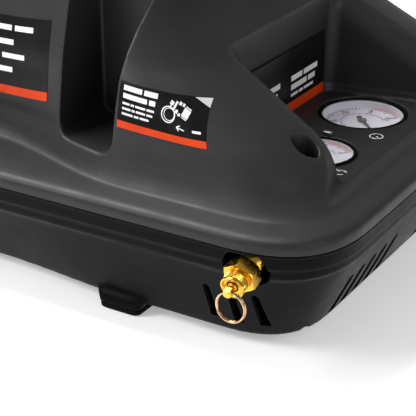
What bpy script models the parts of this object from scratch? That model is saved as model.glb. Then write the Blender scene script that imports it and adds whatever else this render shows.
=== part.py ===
"""A shrouded oil-free air compressor: tank, motor and pump in a moulded case, with gauges at the +X end.

The origin is on the ground under the middle, +X runs to the gauge end, -Y to the safety valve side, +Z up.
Dimensions are in mm and are turned into metres where meshes are made. Heights are counted from a datum plane,
which stands FOOT_DROP above the ground.
"""
import math

import bmesh
import bpy
from mathutils import Matrix, Vector

MM = 0.001

# Shells
FOOT_DROP = 4.5
FLOOR = 2
WALL = 2.5
GAP = 0.3
CORNER_POWER = 2.75
WAIST_REACH = 110

# Gauge console
PANEL = 76.5
LIP_TOP = 80
LIP_X = 208.5
TRAY_STEP = 0.6
BAY_BACK = 130.5
BAY_HALF = 54.5
BAY_SPREAD = 0.187  # how fast the bay widens towards the open end
BAY_LEAN = 0.3  # how fast it widens with height
NOSE_X = 184
NOSE_RADIUS = 24
GAUGES = {
    "tank": {"at": (168, 31), "hole": 27.2, "dial": 24.3, "dial_top": 70.1, "rim": 76},
    "outlet": {"at": (172.9, -38.7), "hole": 22.3, "dial": 20, "dial_top": 73.8, "rim": 77.2},
}

# Recesses beside the centre column, screws and feet, all mirrored to four places
RECESS = {"x": 74, "half": 21, "bottom": 90, "top": 225, "back": 78}
SCREW_AT = (191, 91)
WELL_FLOOR = 86
WELL_RADIUS = 7.3
SCREW_SHANK = 1.9
FOOT_AT = (98, 121)

# Safety valve, square to the drafted wall
VALVE_AT = (191, -150, 57)
VALVE_TILT = math.radians(16)
STEM_RADIUS = 2.6
STEM_TIP = 23
EYE = 20.4
RING_RADIUS = 8.2

# Rear wall outlets
OUTLET_HEIGHT = 42
REGULATOR_X = 170
COUPLER_X = 122
SWITCH_X = -120
GLAND_X = -170
DRAIN_X = -60

# Tank, motor and pump
TANK_RADIUS = 52
TANK_HEIGHT = 70
TANK_ENDS = (-170, 118)
TANK_DOME = 32
TANK_WALL = 2.5
SHAFT_HEIGHT = 176
SHAFT_RADIUS = 5
SHAFT_FIT = 0.4
FAN_PITCH = 0.5
MOTOR_X = 10
STATOR_RADIUS = 42
PUMP_X = -48
BORE_RADIUS = 18
CRANK_THROW = 8
HANDLE_HALF = 62
HANDLE_RADIUS = 13
COVER_TOP = 270

# Each level of the shells: height, half length, half width, corner radius, waist depth
COVER_LEVELS = [
    (68.3, 235, 157, 60, 0), (74, 234.5, 156.5, 60, 0), (76.6, 231.5, 153.5, 57, 0), (77.2, 228, 149, 55, 2),
    (76.6, 219.5, 140, 48, 24), (80, 215, 137, 48, 24), (84, 208.5, 134.5, 50, 23.5), (93, 204, 132.5, 55, 22),
    (101, 196, 131, 58, 20), (108, 186, 129.5, 62, 19), (122, 162, 126, 66, 17), (140, 131, 121, 68, 14),
    (160, 108, 114, 66, 11), (195, 95, 101, 60, 6), (235, 88, 87, 56, 1), (258, 79, 76, 50, 0),
    (267, 68, 64, 44, 0), (270, 54, 50, 36, 0),
]
LOWER_LEVELS = [
    (2, 203.5, 125.5, 46, 8), (4, 206.5, 128.5, 47, 7.3), (28, 218.5, 140.5, 52, 4), (48, 227, 149, 56, 1),
    (52, 230, 152, 57, 0), (53, 231.6, 153.6, 58, 0), (58.3, 232, 154, 58, 0), (59.5, 234.4, 156.4, 60, 0),
    (68, 235, 157, 60, 0),
]

GROUP = None
CUTTERS = None


# ---------------------------------------------------------------- scene and helpers

def clear_scene():
    for item in list(bpy.data.objects):
        bpy.data.objects.remove(item)


def new_collection(name):
    made = bpy.data.collections.new(name)
    bpy.context.scene.collection.children.link(made)
    return made


def material(name, colour, roughness, metallic=0.0, alpha=1.0):
    made = bpy.data.materials.get(name) or bpy.data.materials.new(name)
    made.use_nodes = True
    shader = made.node_tree.nodes["Principled BSDF"]
    shader.inputs["Base Color"].default_value = (*colour, 1.0)
    shader.inputs["Roughness"].default_value = roughness
    shader.inputs["Metallic"].default_value = metallic
    shader.inputs["Alpha"].default_value = alpha
    return made


def place(name, mesh, finish=None, cutter=False):
    """Links a mesh as a part, or as a hidden cutter."""
    item = bpy.data.objects.new(name, mesh)
    (CUTTERS if cutter else GROUP).objects.link(item)
    if cutter:
        item.hide_render = True
        item.display_type = "WIRE"
    elif finish:
        mesh.materials.append(finish)
    return item


def smooth(item, angle=35):
    item.data.shade_smooth()
    item.data.set_sharp_from_angle(angle=math.radians(angle))


def box(name, low, high, finish=None, cutter=False):
    """A box between two corners."""
    work = bmesh.new()
    bmesh.ops.create_cube(work, size=1.0)
    size = [(b - a) * MM for a, b in zip(low, high)]
    middle = [(a + b) / 2 * MM for a, b in zip(low, high)]
    bmesh.ops.scale(work, vec=size, verts=work.verts)
    mesh = bpy.data.meshes.new(name)
    work.to_mesh(mesh)
    work.free()
    item = place(name, mesh, finish, cutter)
    item.location = middle
    return item


AXES = {
    "Z": Matrix.Identity(4),
    "X": Matrix.Rotation(math.radians(90), 4, "Y"),
    "-Y": Matrix.Rotation(math.radians(90), 4, "X"),
    "Y": Matrix.Rotation(math.radians(-90), 4, "X"),
}


def rod(name, radius, start, length, axis="Z", finish=None, cutter=False, sides=24):
    """A cylinder that starts at a point and runs along an axis."""
    work = bmesh.new()
    bmesh.ops.create_cone(work, cap_ends=True, segments=sides, radius1=radius * MM, radius2=radius * MM,
                          depth=length * MM)
    bmesh.ops.translate(work, vec=(0, 0, length * MM / 2), verts=work.verts)
    mesh = bpy.data.meshes.new(name)
    work.to_mesh(mesh)
    work.free()
    item = place(name, mesh, finish, cutter)
    item.matrix_world = Matrix.Translation(Vector(start) * MM) @ AXES[axis]
    smooth(item)
    return item


def turned(name, profile, start, axis="Z", finish=None, steps=32, closed=False):
    """A turned solid: profile points (radius, height), down the outer side, spun about the axis."""
    mesh = bpy.data.meshes.new(name)
    points = [(radius * MM, 0, height * MM) for radius, height in profile]
    edges = [(i, i + 1) for i in range(len(points) - 1)]
    if closed:
        edges.append((len(points) - 1, 0))
    mesh.from_pydata(points, edges, [])
    item = place(name, mesh, finish)
    item.matrix_world = Matrix.Translation(Vector(start) * MM) @ AXES[axis]
    screw = item.modifiers.new("Screw", "SCREW")
    screw.steps = screw.render_steps = steps
    screw.use_merge_vertices = True
    screw.merge_threshold = 0.00001
    screw.use_smooth_shade = True
    return item


def valve_frame(along):
    """A frame on the safety valve's axis, some way out along it, with Z pointing outwards."""
    base = Matrix.Translation(Vector(VALVE_AT) * MM) @ Matrix.Rotation(VALVE_TILT, 4, "X") @ AXES["-Y"]
    return base @ Matrix.Translation((0, 0, along * MM))


def outline(half_x, half_y, radius, waist, front=3, corner=6):
    """A rounded rectangle with full corners, drawn in at the middle of its long sides."""
    radius = min(radius, 0.96 * half_x, 0.96 * half_y)
    quarter = []
    for i in range(front):
        x = (half_x - radius) * i / front
        quarter.append((x, half_y - waist * waist_share(x)))
    for i in range(corner + 1):
        turn = math.pi / 2 * (1 - i / corner)
        across = math.cos(turn) ** (2 / CORNER_POWER) if i else 0.0
        along = math.sin(turn) ** (2 / CORNER_POWER) if i < corner else 0.0
        x = half_x - radius + radius * across
        quarter.append((x, half_y - radius + radius * along - waist * waist_share(x)))
    right = quarter + [(half_x, 0)] + [(x, -y) for x, y in reversed(quarter[1:])]
    left = [(-x, -y) for x, y in right]
    return right + left


def waist_share(x):
    return 0.5 + 0.5 * math.cos(math.pi * min(abs(x) / WAIST_REACH, 1.0))


def loft(name, rings, finish=None, cutter=False):
    """A closed solid through rings of equal length, lowest first, capped at both ends."""
    work = bmesh.new()
    rows = [[work.verts.new(Vector(point) * MM) for point in ring] for ring in rings]
    for lower, upper in zip(rows, rows[1:]):
        count = len(lower)
        for i in range(count):
            j = (i + 1) % count
            work.faces.new((lower[i], lower[j], upper[j], upper[i]))
    work.faces.new(list(reversed(rows[0])))
    work.faces.new(rows[-1])
    bmesh.ops.recalc_face_normals(work, faces=work.faces)
    mesh = bpy.data.meshes.new(name)
    work.to_mesh(mesh)
    work.free()
    return place(name, mesh, finish, cutter)


def shell_rings(levels, inset=0.0, lift=0.0):
    """The rings of a moulded shell. An inset of one wall gives the rings of its inner face."""
    rings = []
    for height, half_x, half_y, radius, waist in levels:
        flat = outline(half_x - inset, half_y - inset, radius - inset / 2, waist)
        rings.append([(x, y, height + lift) for x, y in flat])
    return rings


def recess_block(name, sign_x, sign_y, grow):
    """The block that cuts one recess beside the centre column, or its outer face when grown by a wall."""
    height = RECESS["top"] - RECESS["bottom"]
    flat = outline(RECESS["half"] + grow, height / 2 + grow, 11 + grow, 0, front=1, corner=4)
    middle = RECESS["bottom"] + height / 2
    ends = sorted((sign_y * (RECESS["back"] - grow), sign_y * (RECESS["back"] + 102)))
    rings = [[(sign_x * RECESS["x"] + u, y, middle + v) for u, v in flat] for y in ends]
    return loft(name, rings, cutter=True)


def boolean(item, other, operation):
    step = item.modifiers.new(other.name, "BOOLEAN")
    step.operation = operation
    step.object = other
    step.solver = "EXACT"


def cut(item, *others):
    for other in others:
        boolean(item, other, "DIFFERENCE")


def join(item, *others):
    for other in others:
        boolean(item, other, "UNION")


def tube(name, points, radius, finish):
    """A tube along a path of points."""
    curve = bpy.data.curves.new(name, "CURVE")
    curve.dimensions = "3D"
    curve.bevel_depth = radius * MM
    curve.bevel_resolution = 2
    curve.use_fill_caps = True
    spline = curve.splines.new("POLY")
    path = [point * MM for point in points]
    spline.points.add(len(path) - 1)
    for slot, point in zip(spline.points, path):
        slot.co = (*point, 1)
    item = bpy.data.objects.new(name, curve)
    curve.materials.append(finish)
    GROUP.objects.link(item)


def rounded_path(corners, share=0.35, steps=4):
    """The points of a path whose inner corners are replaced with short curves."""
    points = [Vector(corner) for corner in corners]
    path = [points[0]]
    for before, here, after in zip(points, points[1:], points[2:]):
        start = here.lerp(before, share)
        end = here.lerp(after, share)
        for i in range(steps + 1):
            t = i / steps
            path.append(start.lerp(here, t).lerp(here.lerp(end, t), t))
    path.append(points[-1])
    return path


def make_materials():
    return {
        "cover": material("cover_plastic", (0.028, 0.029, 0.031), 0.5),
        "shell": material("shell_plastic", (0.012, 0.012, 0.013), 0.42),
        "rubber": material("rubber", (0.015, 0.015, 0.015), 0.85),
        "steel": material("steel", (0.5, 0.5, 0.5), 0.35, 1.0),
        "brass": material("brass", (0.72, 0.5, 0.16), 0.25, 1.0),
        "aluminium": material("aluminium", (0.6, 0.6, 0.62), 0.4, 1.0),
        "tank": material("tank_paint", (0.02, 0.02, 0.022), 0.4),
        "copper": material("copper", (0.75, 0.4, 0.25), 0.3, 1.0),
        "dial": material("dial_white", (0.85, 0.85, 0.83), 0.5),
        "glass": material("gauge_glass", (0.9, 0.9, 0.9), 0.05, 0.0, 0.25),
        "pointer": material("pointer_black", (0.02, 0.02, 0.02), 0.4),
        "label": material("label_film", (0.03, 0.03, 0.03), 0.35),
        "knob": material("knob_plastic", (0.6, 0.09, 0.02), 0.45),
    }


# ---------------------------------------------------------------- shells

def corners():
    """The signs of the four mirrored places."""
    return [(sign_x, sign_y) for sign_x in (-1, 1) for sign_y in (-1, 1)]


def corner_name(sign_x, sign_y):
    return f"{'front' if sign_y < 0 else 'rear'}_{'left' if sign_x < 0 else 'right'}"


def screw_place(sign_x, sign_y, height):
    return (sign_x * SCREW_AT[0], sign_y * SCREW_AT[1], height)


def make_lower_shell(finishes):
    shell = loft("lower_shell", shell_rings(LOWER_LEVELS), finishes["shell"])
    core_rings = shell_rings(LOWER_LEVELS[:5] + LOWER_LEVELS[6::2], inset=WALL)
    core_rings[0] = [(x, y, FLOOR + WALL) for x, y, _ in core_rings[0]]
    core_rings[1] = [(x, y, FLOOR + 2 * WALL) for x, y, _ in core_rings[1]]
    core_rings[-1] = [(x, y, z + WALL) for x, y, z in core_rings[-1]]
    cut(shell, loft("lower_core_cutter", core_rings, cutter=True))
    for sign_x, sign_y in corners():
        base = FLOOR + 1.5
        foot = screw_place(sign_x, sign_y, base)
        post = rod("screw_post_cutter", 5.5, foot, 82.7 - base, cutter=True, sides=12)
        pilot_from = screw_place(sign_x, sign_y, 40)
        pilot = rod("pilot_cutter", SCREW_SHANK + GAP, pilot_from, 60, cutter=True, sides=12)
        join(shell, make_foot_boss(sign_x, sign_y), post)
        cut(shell, pilot)
    cut(shell, make_vents())
    valve_hole = rod("valve_hole_cutter", 13, (0, 0, 0), 40, cutter=True)
    valve_hole.matrix_world = valve_frame(-16)
    at = OUTLET_HEIGHT
    outlets = [
        rod("regulator_hole_cutter", 7, (REGULATOR_X, 130, at), 30, "Y", cutter=True, sides=16),
        rod("coupler_hole_cutter", 11, (COUPLER_X, 130, at), 30, "Y", cutter=True, sides=20),
        rod("gland_hole_cutter", 8, (GLAND_X, 130, at), 30, "Y", cutter=True, sides=16),
        box("switch_hole_cutter", (SWITCH_X - 14, 130, at - 10), (SWITCH_X + 14, 165, at + 10), cutter=True),
        rod("drain_hole_cutter", 9, (DRAIN_X, 0, -5), 15, cutter=True, sides=16),
    ]
    cut(shell, valve_hole, *outlets)
    smooth(shell, 30)


def make_foot_boss(sign_x, sign_y):
    """The moulded stub under the shell that each rubber foot is set in."""
    rings = []
    for height, half_x, half_y in ((-0.5, 13.8, 12.8), (8, 15, 14), (16, 16, 14.5)):
        rings.append(foot_ring(sign_x, sign_y, half_x, half_y, height))
    return loft("foot_boss_cutter", rings, cutter=True)


def foot_ring(sign_x, sign_y, half_x, half_y, height):
    flat = outline(half_x, half_y, 5, 0, front=1, corner=2)
    return [(sign_x * FOOT_AT[0] + u, sign_y * FOOT_AT[1] + v, height) for u, v in flat]


def make_vents():
    """Every cooling slot of the lower shell, as one cutter mesh of blocks."""
    work = bmesh.new()
    for x in (162, 176.5, 190.5):
        add_block(work, (x, -139, 24.2), (4.8, 40, 24.6))
        add_block(work, (-x, -139, 24.2), (4.8, 40, 24.6))
    for sign_x in (-1, 1):
        for y in (29, 43.5, 58, 72.5, 87):
            add_block(work, (sign_x * 216, y, 19), (40, 4.8, 25))
            add_block(work, (sign_x * 216, -y, 19), (40, 4.8, 25))
    mesh = bpy.data.meshes.new("vent_cutter")
    work.to_mesh(mesh)
    work.free()
    return place("vent_cutter", mesh, cutter=True)


def add_block(work, middle, size):
    made = bmesh.ops.create_cube(work, size=MM)
    bmesh.ops.scale(work, vec=size, verts=made["verts"])
    bmesh.ops.translate(work, vec=Vector(middle) * MM, verts=made["verts"])


def bay_ring(height, grow, reach):
    """The outline of the console bay at a height: a square back that widens towards its open end."""
    back = BAY_BACK - grow
    lean = BAY_LEAN * (height - PANEL) + grow
    side = [(back, BAY_HALF - 5 + lean), (back + 3, BAY_HALF - 1 + lean)]
    bend = NOSE_RADIUS - grow
    steps = [back + 12, NOSE_X] + [NOSE_X + bend * math.sin(math.radians(turn)) for turn in (30, 55, 80)]
    for x in steps:
        if x < reach:
            inward = min(max((x - NOSE_X) / bend, 0.0), 1.0)
            flare = bend * (1 - math.sqrt(1 - inward ** 2))
            side.append((x, BAY_HALF + BAY_SPREAD * (min(x, NOSE_X) - BAY_BACK) + lean + flare))
    side.append((reach, side[-1][1]))
    return [(x, y, height) for x, y in side] + [(x, -y, height) for x, y in reversed(side)]


def console_bay(name, grow):
    """The open bay at the gauge end, between the arms, over the top of the lip."""
    heights = (LIP_TOP - grow, 100, 140, COVER_TOP)
    return loft(name, [bay_ring(height, grow, 260) for height in heights], cutter=True)


def console_floor(name, grow):
    """The shallow tray below the lip, a small step inside the bay. Its floor is the gauge panel."""
    rings = [bay_ring(height, grow - TRAY_STEP, LIP_X + grow) for height in (PANEL - grow, LIP_TOP + 5)]
    return loft(name, rings, cutter=True)


def make_top_cover(finishes):
    cover = loft("top_cover", shell_rings(COVER_LEVELS), finishes["cover"])
    core_levels = COVER_LEVELS[:1] + COVER_LEVELS[2:5] + COVER_LEVELS[6:]
    core_rings = shell_rings(core_levels, inset=WALL, lift=-WALL)
    core = loft("cover_core_cutter", core_rings, cutter=True)
    cut(cover, console_bay("bay_cutter", 0), console_floor("tray_cutter", 0))
    cut(core, console_bay("bay_core_cutter", WALL), console_floor("tray_core_cutter", WALL))
    for sign_x, sign_y in corners():
        well = screw_place(sign_x, sign_y, WELL_FLOOR)
        under_well = screw_place(sign_x, sign_y, WELL_FLOOR - WALL - GAP)
        through = screw_place(sign_x, sign_y, WELL_FLOOR - 16)
        cut(cover, recess_block("recess_cutter", sign_x, sign_y, 0))
        cut(core, recess_block("recess_core_cutter", sign_x, sign_y, WALL))
        cut(cover, rod("well_cutter", WELL_RADIUS, well, 60, cutter=True, sides=20))
        cut(core, rod("well_core_cutter", WELL_RADIUS + WALL, under_well, 60, cutter=True, sides=20))
        cut(cover, rod("shank_cutter", SCREW_SHANK + 2 * GAP, through, 30, cutter=True, sides=12))
    skirt = [[(x, y, z + shift) for x, y, z in core_rings[0]] for shift in (-5, 3)]
    cut(cover, core, loft("cover_skirt_cutter", skirt, cutter=True))
    for gauge in GAUGES.values():
        hole = rod("gauge_hole_cutter", gauge["hole"], (*gauge["at"], PANEL - 10), 20, cutter=True, sides=32)
        cut(cover, hole)
    smooth(cover, 30)


def make_handle(finishes):
    foot, grip = COVER_TOP + GAP + 0.1, COVER_TOP + 52
    ends = [(-HANDLE_HALF, 0, foot), (-HANDLE_HALF, 0, grip), (HANDLE_HALF, 0, grip), (HANDLE_HALF, 0, foot)]
    tube("carry_handle", rounded_path(ends, share=0.42, steps=5), HANDLE_RADIUS, finishes["cover"])


# ---------------------------------------------------------------- feet, tank and labels

def make_feet(finishes):
    for sign_x, sign_y in corners():
        rings = []
        for height, half_x, half_y in ((-FOOT_DROP, 12.5, 11.5), (-3.5, 13.5, 12.5), (-0.8, 13.5, 12.5)):
            rings.append(foot_ring(sign_x, sign_y, half_x, half_y, height))
        loft(f"foot_{corner_name(sign_x, sign_y)}", rings, finishes["rubber"])


def make_tank(finishes):
    """A welded tank with domed ends. The port at its +X end opens its hollow."""
    low, high = TANK_ENDS
    inner_radius, inner_dome = TANK_RADIUS - TANK_WALL, TANK_DOME - TANK_WALL
    outer, inner = [], []
    for i in range(5):
        across, along = math.sin(math.pi / 8 * i), math.cos(math.pi / 8 * i)
        outer.append((TANK_RADIUS * across, high - TANK_DOME + TANK_DOME * along))
        inner.append((inner_radius * across, high - TANK_DOME + inner_dome * along))
    port = 5
    outer[0] = (port, high)
    inner[0] = (port, high - TANK_WALL)
    closed_end = [(r, low + high - z) for r, z in reversed(outer[1:])] + [(0, low)]
    inner_end = [(0, low + TANK_WALL)] + [(r, low + high - z) for r, z in inner[1:]]
    profile = outer + closed_end + inner_end + list(reversed(inner))
    turned("air_tank", profile, (0, 0, TANK_HEIGHT), "X", finishes["tank"], 28, closed=True)


def tank_cradle(x, length):
    """The cutter that hollows a bracket to fit round the tank."""
    start = (x - length / 2, 0, TANK_HEIGHT)
    return rod("cradle_cutter", TANK_RADIUS + GAP, start, length, "X", cutter=True, sides=64)


def make_saddles(finishes):
    base = FLOOR + WALL + GAP
    for name, x in (("tank_saddle_left", -120), ("tank_saddle_right", 60)):
        saddle = box(name, (x - 12, -40, base), (x + 12, 40, 40), finishes["steel"])
        cut(saddle, tank_cradle(x, 40))


def make_console_label(finishes):
    """A printed plate on the back wall of the console bay."""
    face = BAY_BACK + TRAY_STEP + GAP
    box("console_label", (face, -49, PANEL + 1), (face + 0.6, 49, PANEL + 41), finishes["label"])


# ---------------------------------------------------------------- motor and pump

def shaft_hole(name, start, length):
    return rod(name, SHAFT_RADIUS + SHAFT_FIT, (start, 0, SHAFT_HEIGHT), length, "X", cutter=True, sides=16)


def make_motor(finishes):
    at = (MOTOR_X, 0, SHAFT_HEIGHT)
    ring = [(STATOR_RADIUS, 35), (STATOR_RADIUS, -35), (26, -35), (26, 35)]
    turned("motor_stator", ring, at, "X", finishes["steel"], 40, closed=True)
    mount = box("motor_mount", (MOTOR_X - 30, -30, 108), (MOTOR_X + 30, 30, 150), finishes["steel"])
    seat_from = (MOTOR_X - 40, 0, SHAFT_HEIGHT)
    seat = rod("motor_seat_cutter", STATOR_RADIUS + GAP, seat_from, 80, "X", cutter=True, sides=64)
    cut(mount, tank_cradle(MOTOR_X, 80), seat)
    fit = SHAFT_RADIUS + SHAFT_FIT
    bell = [(41, 43), (41, 37), (fit, 37), (fit, 43)]
    turned("motor_end_bell", bell, at, "X", finishes["aluminium"], 32, closed=True)
    core = 25.4
    rotor = [(0, 70), (SHAFT_RADIUS, 70), (SHAFT_RADIUS, 32), (core, 32), (core, -32), (SHAFT_RADIUS, -32),
             (SHAFT_RADIUS, -54), (0, -54)]
    turned("motor_rotor", rotor, at, "X", finishes["steel"], 32)


def make_fan(finishes):
    x = MOTOR_X + 54
    bore = SHAFT_RADIUS + GAP
    hub = turned("cooling_fan", [(12, 7), (12, -7), (bore, -7), (bore, 7)], (x, 0, SHAFT_HEIGHT), "X",
                 finishes["shell"], 24, closed=True)
    middle = Matrix.Translation(Vector((x, 0, SHAFT_HEIGHT)) * MM)
    blades = 7
    for i in range(blades):
        blade = box("fan_blade_cutter", (-5, -1, 10), (5, 1, 38), cutter=True)
        around = Matrix.Rotation(math.tau * i / blades, 4, "X")
        out = Matrix.Translation((0, 0, 24 * MM))
        blade.matrix_world = middle @ around @ out @ Matrix.Rotation(FAN_PITCH, 4, "Z")
        join(hub, blade)


def make_pump(finishes):
    case = box("crankcase", (PUMP_X - 22, -40, 136), (PUMP_X + 17, 40, 216), finishes["aluminium"])
    cut(case, rod("crank_bay_cutter", 34, (PUMP_X - 32, 0, SHAFT_HEIGHT), 44, "X", cutter=True, sides=32))
    cut(case, shaft_hole("shaft_hole_cutter", PUMP_X + 8, 20))
    cut(case, rod("throat_cutter", BORE_RADIUS, (PUMP_X, 0, 200), 30, cutter=True))
    cut(case, box("throat_slot_cutter", (PUMP_X - 32, -14, 200), (PUMP_X, 14, 230), cutter=True))
    crank = rod("eccentric", 13, (PUMP_X - 6, 0, SHAFT_HEIGHT + CRANK_THROW), 9, "X", finishes["steel"])
    bore_from = (PUMP_X - 12, 0, SHAFT_HEIGHT)
    cut(crank, rod("crank_bore_cutter", SHAFT_RADIUS + GAP, bore_from, 20, "X", cutter=True, sides=16))
    fins = [(25, 33.5), (25, 31.5), (21, 31.5)]
    for level in (24, 16, 8):
        fins += [(21, level + 1), (25, level + 1), (25, level - 1), (21, level - 1)]
    fins += [(21, 0), (BORE_RADIUS, 0), (BORE_RADIUS, 33.5)]
    turned("pump_cylinder", fins, (PUMP_X, 0, 216.5), "Z", finishes["aluminium"], 24, closed=True)
    head = box("cylinder_head", (PUMP_X - 20, -26, 250.4), (PUMP_X + 20, 26, 255), finishes["aluminium"])
    for y in (-20, -10, 0, 10, 20):
        low, high = (PUMP_X - 18, y - 1.5, 254), (PUMP_X + 18, y + 1.5, 258)
        join(head, box("head_fin_cutter", low, high, cutter=True))
    make_piston(finishes)


def make_piston(finishes):
    """The wobble piston at the top of its stroke. Its big end stands beside the crank disc."""
    rod_x = PUMP_X - 16
    pin = SHAFT_HEIGHT + CRANK_THROW
    crown = (PUMP_X, 0, 238)
    piston = rod("piston_and_rod", BORE_RADIUS - 0.4, crown, 8, finish=finishes["aluminium"], sides=32)
    stem = box("rod_stem_cutter", (rod_x, -5, pin + 8), (rod_x + 6, 5, 240), cutter=True)
    big_end = rod("big_end_cutter", 15, (rod_x, 0, pin), 6, "X", cutter=True)
    join(piston, stem, big_end)
    cut(piston, rod("big_end_bore_cutter", 8, (rod_x - 6, 0, pin), 20, "X", cutter=True, sides=20))


def make_pipework(finishes):
    rod("check_valve", 6.5, (-90, 32, 116), 16, finish=finishes["brass"], sides=16)
    path = [(-48, 30, 252), (-48, 54, 250), (-62, 60, 225), (-86, 50, 190), (-90, 32, 160), (-90, 32, 132.4)]
    tube("discharge_tube", rounded_path(path), 3.5, finishes["copper"])
    box("pressure_switch", (-108, -42, 122.6), (-74, 14, 150), finishes["shell"])
    filter_cup = [(0, 14), (13, 14), (15, 12), (15, -12), (13, -14), (0, -14)]
    turned("intake_filter", filter_cup, (2, 0, 244), "X", finishes["shell"], 24)
    rod("start_capacitor", 15, (-30, -62, 160), 60, "X", finishes["shell"])
    box("air_manifold", (163, -50, 36), (177, 60, 49), finishes["brass"])
    bend = 132
    end = TANK_ENDS[1] + 2 * GAP
    path = [(end, 0, TANK_HEIGHT), (bend, 0, TANK_HEIGHT)]
    path += [(bend, 0, OUTLET_HEIGHT), (162.6, 0, OUTLET_HEIGHT)]
    tube("supply_tube", rounded_path(path), 4, finishes["aluminium"])


# ---------------------------------------------------------------- gauges

def make_gauge(which, finishes):
    """A panel gauge: cup, dial, pointer and lens, on the axis of its hole."""
    gauge = GAUGES[which]
    x, y = gauge["at"]
    radius, face, rim = gauge["dial"], gauge["dial_top"], gauge["rim"]
    inner, outer = radius + GAP, gauge["hole"] - GAP
    floor = face - 1.1
    cup = [(outer, rim), (outer, floor - 2), (6, floor - 4), (6, 50)]
    cup += [(0, 50), (0, floor), (inner, floor), (inner, rim)]
    turned(f"{which}_gauge_case", cup, (x, y, 0), "Z", finishes["shell"], 32, closed=True)
    rod(f"{which}_gauge_dial", radius, (x, y, face - 0.8), 0.8, finish=finishes["dial"], sides=32)
    rod(f"{which}_gauge_lens", radius, (x, y, rim - 1.4), 1, finish=finishes["glass"], sides=32)
    foot = (x, y, face + 0.4)
    pointer = rod(f"{which}_gauge_pointer", 2.6, foot, 1.2, finish=finishes["pointer"], sides=16)
    needle = box("needle_cutter", (-0.7, -7, -0.3), (0.7, 0.74 * radius, 0.3), cutter=True)
    hub = Matrix.Translation(Vector((x, y, face + 1)) * MM)
    rest = math.radians(-135)
    needle.matrix_world = hub @ Matrix.Rotation(rest, 4, "Z") @ needle.matrix_basis
    join(pointer, needle)


# ---------------------------------------------------------------- safety valve

def make_safety_valve(finishes):
    """The valve body, its stem and its pull ring, all on an axis square to the drafted wall."""
    body = rod("safety_valve_body", 9.6, (0, 0, 0), 8, finish=finishes["brass"], sides=6)
    body.data.shade_flat()
    body.matrix_world = valve_frame(2)
    ends = (("valve_thread_cutter", 6.3, -14, 18), ("valve_barrel_cutter", 6.6, 9, 8.5))
    for name, radius, start, length in ends:
        piece = rod(name, radius, (0, 0, 0), length, cutter=True)
        piece.matrix_world = valve_frame(start)
        join(body, piece)
    bore = rod("valve_bore_cutter", STEM_RADIUS + 0.4, (0, 0, 0), 50, cutter=True, sides=16)
    bore.matrix_world = valve_frame(-10)
    cut(body, bore)
    inside = 6
    length = STEM_TIP + inside
    stem = rod("safety_valve_stem", STEM_RADIUS, (0, 0, 0), length, finish=finishes["brass"], sides=16)
    stem.matrix_world = valve_frame(-inside)
    eye = rod("stem_eye_cutter", 1.65, (0, 0, 0), 10, cutter=True, sides=12)
    eye.matrix_world = valve_frame(EYE) @ Matrix.Translation((-5 * MM, 0, 0)) @ AXES["X"]
    cut(stem, eye)
    make_pull_ring(finishes)


def make_pull_ring(finishes):
    """A wire ring that hangs from the eye, turned a little so that it lies against the wall's draft."""
    bpy.ops.mesh.primitive_torus_add(major_radius=RING_RADIUS * MM, minor_radius=0.65 * MM, major_segments=28,
                                     minor_segments=6)
    ring = bpy.context.object
    ring.name = ring.data.name = "pull_ring"
    for owner in list(ring.users_collection):
        owner.objects.unlink(ring)
    GROUP.objects.link(ring)
    ring.data.materials.append(finishes["steel"])
    hang = Matrix.Rotation(math.radians(-9), 4, "Y") @ Matrix.Translation((0, 0, -RING_RADIUS * MM))
    ring.data.transform(hang @ AXES["-Y"])
    ring.location = valve_frame(EYE).translation
    ring.data.shade_smooth()


# ---------------------------------------------------------------- outlets, switch and drain

def make_outlets(finishes):
    """The regulator, quick coupler and cord gland on the rear wall, turned about axes along +Y."""
    at = OUTLET_HEIGHT
    body = turned("regulator_body", [(0, 30), (13, 30), (13, -18), (9, -18), (9, -28), (0, -28)],
                  (REGULATOR_X, 92, at), "Y", finishes["aluminium"], 24)
    join(body, rod("regulator_shank_cutter", 5, (REGULATOR_X, 118, at), 43, "Y", cutter=True, sides=16))
    knob = [(0, 17), (14, 17), (15, 14), (15, 0), (5.4, 0), (5.4, 9), (0, 9)]
    turned("regulator_knob", knob, (REGULATOR_X, 154.6, at), "Y", finishes["knob"], 24)
    # The coupler's tip reaches as far to the rear as the safety valve does to the front
    reach = -VALVE_AT[1] + STEM_TIP * math.cos(VALVE_TILT) + STEM_RADIUS * math.sin(VALVE_TILT)
    base = 100
    tip = reach - base
    coupler = [(4, tip), (8, tip), (8, 60), (10, 60), (10, 40), (7, 40), (7, 0), (4, 0)]
    turned("coupler_body", coupler, (COUPLER_X, base, at), "Y", finishes["brass"], 16, closed=True)
    sleeve = [(12, 71.6), (12, 63.6), (8.4, 63.6), (8.4, 71.6)]
    turned("coupler_sleeve", sleeve, (COUPLER_X, base, at), "Y", finishes["steel"], 24, closed=True)
    gland = [(10, 22), (10, 12), (12, 10), (12, 6.4), (7.6, 6.4), (7.6, -6), (4, -6), (4, 22)]
    turned("cord_gland", gland, (GLAND_X, 148, at), "Y", finishes["shell"], 20, closed=True)


def make_switch(finishes):
    x, z = SWITCH_X, OUTLET_HEIGHT
    frame = box("switch_frame", (x - 13.6, 138, z - 9.6), (x + 13.6, 156, z + 9.6), finishes["shell"])
    cut(frame, box("rocker_bay_cutter", (x - 10, 142, z - 7), (x + 10, 170, z + 7), cutter=True))
    box("switch_rocker", (x - 9, 149, z - 5.3), (x + 9, 158, z + 5.3), finishes["shell"])


def make_drain(finishes):
    rod("drain_valve_body", 5, (DRAIN_X, 0, 5), 12.4, finish=finishes["brass"], sides=16)
    turned("drain_valve_knob", [(0, 4.6), (7, 4.6), (8, 3.6), (8, 0), (7, -1), (0, -1)], (DRAIN_X, 0, 0), "Z",
           finishes["brass"], 20)


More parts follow.
